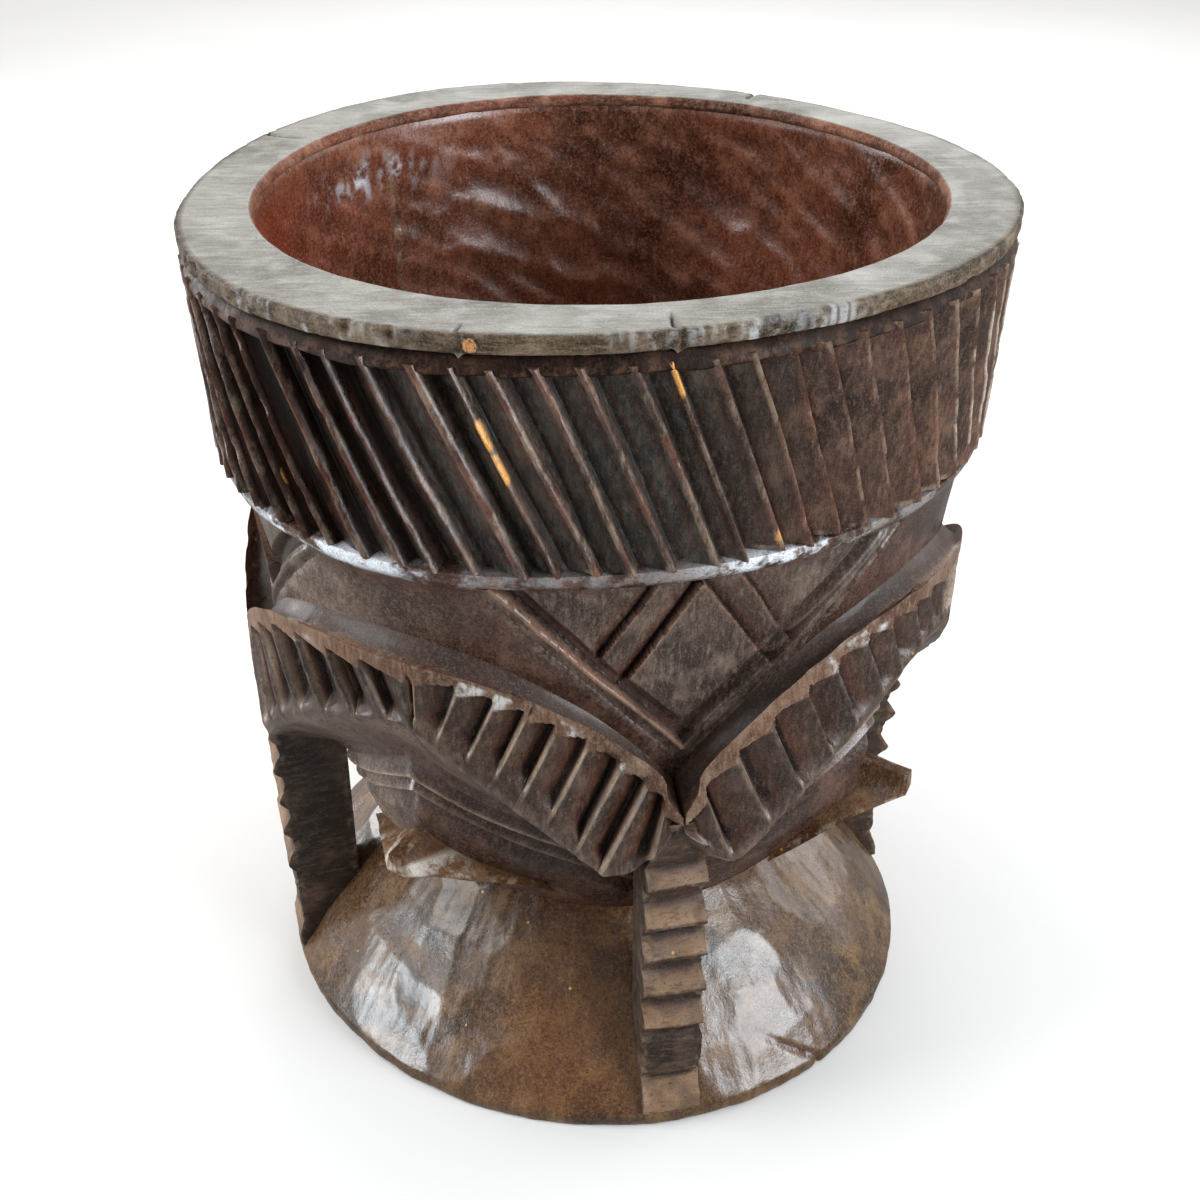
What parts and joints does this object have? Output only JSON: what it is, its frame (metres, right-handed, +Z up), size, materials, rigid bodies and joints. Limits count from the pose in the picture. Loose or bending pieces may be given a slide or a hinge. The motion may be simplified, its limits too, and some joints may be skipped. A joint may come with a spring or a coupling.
{
  "type": "carved wooden vessel",
  "caption": "Deep round wooden bowl carved with its domed foot from one log, with a slanting fluted band, serrated arches, open legs and lugs.",
  "frame": {"origin": "centre of the foot's resting face, under the middle of the vessel", "axes": "+Z up along the bowl's axis, -Y to the front, with the first leg 12.5 degrees from -Y towards +X"},
  "size_m": [0.4039, 0.404, 0.456],
  "materials": {
    "foot_wood": "waxed olive-brown wood with broad adze facets",
    "dark_wood": "nearly black waxed wood with worn reddish and pale edges",
    "red_wood": "glossy reddish-brown stained wood",
    "pale_wood": "worn grey-beige wood with dark grain and glossy edges",
    "tan_wood": "worn orange-brown wood"
  },
  "bodies": {
    "root": {"foot": "foot_wood", "neck": "dark_wood", "bowl": "red_wood", "rim": "pale_wood", "collar": "red_wood", "flute_band": "dark_wood", "panel_1": "dark_wood", "panel_2": "dark_wood", "panel_3": "dark_wood", "panel_4": "dark_wood", "arch_1": "dark_wood", "arch_2": "dark_wood", "arch_3": "dark_wood", "arch_4": "dark_wood", "leg_1": "dark_wood", "leg_2": "dark_wood", "leg_3": "dark_wood", "leg_4": "dark_wood", "lug_1": "tan_wood", "lug_2": "tan_wood", "lug_3": "tan_wood", "lug_4": "tan_wood"}
  },
  "joints": []
}
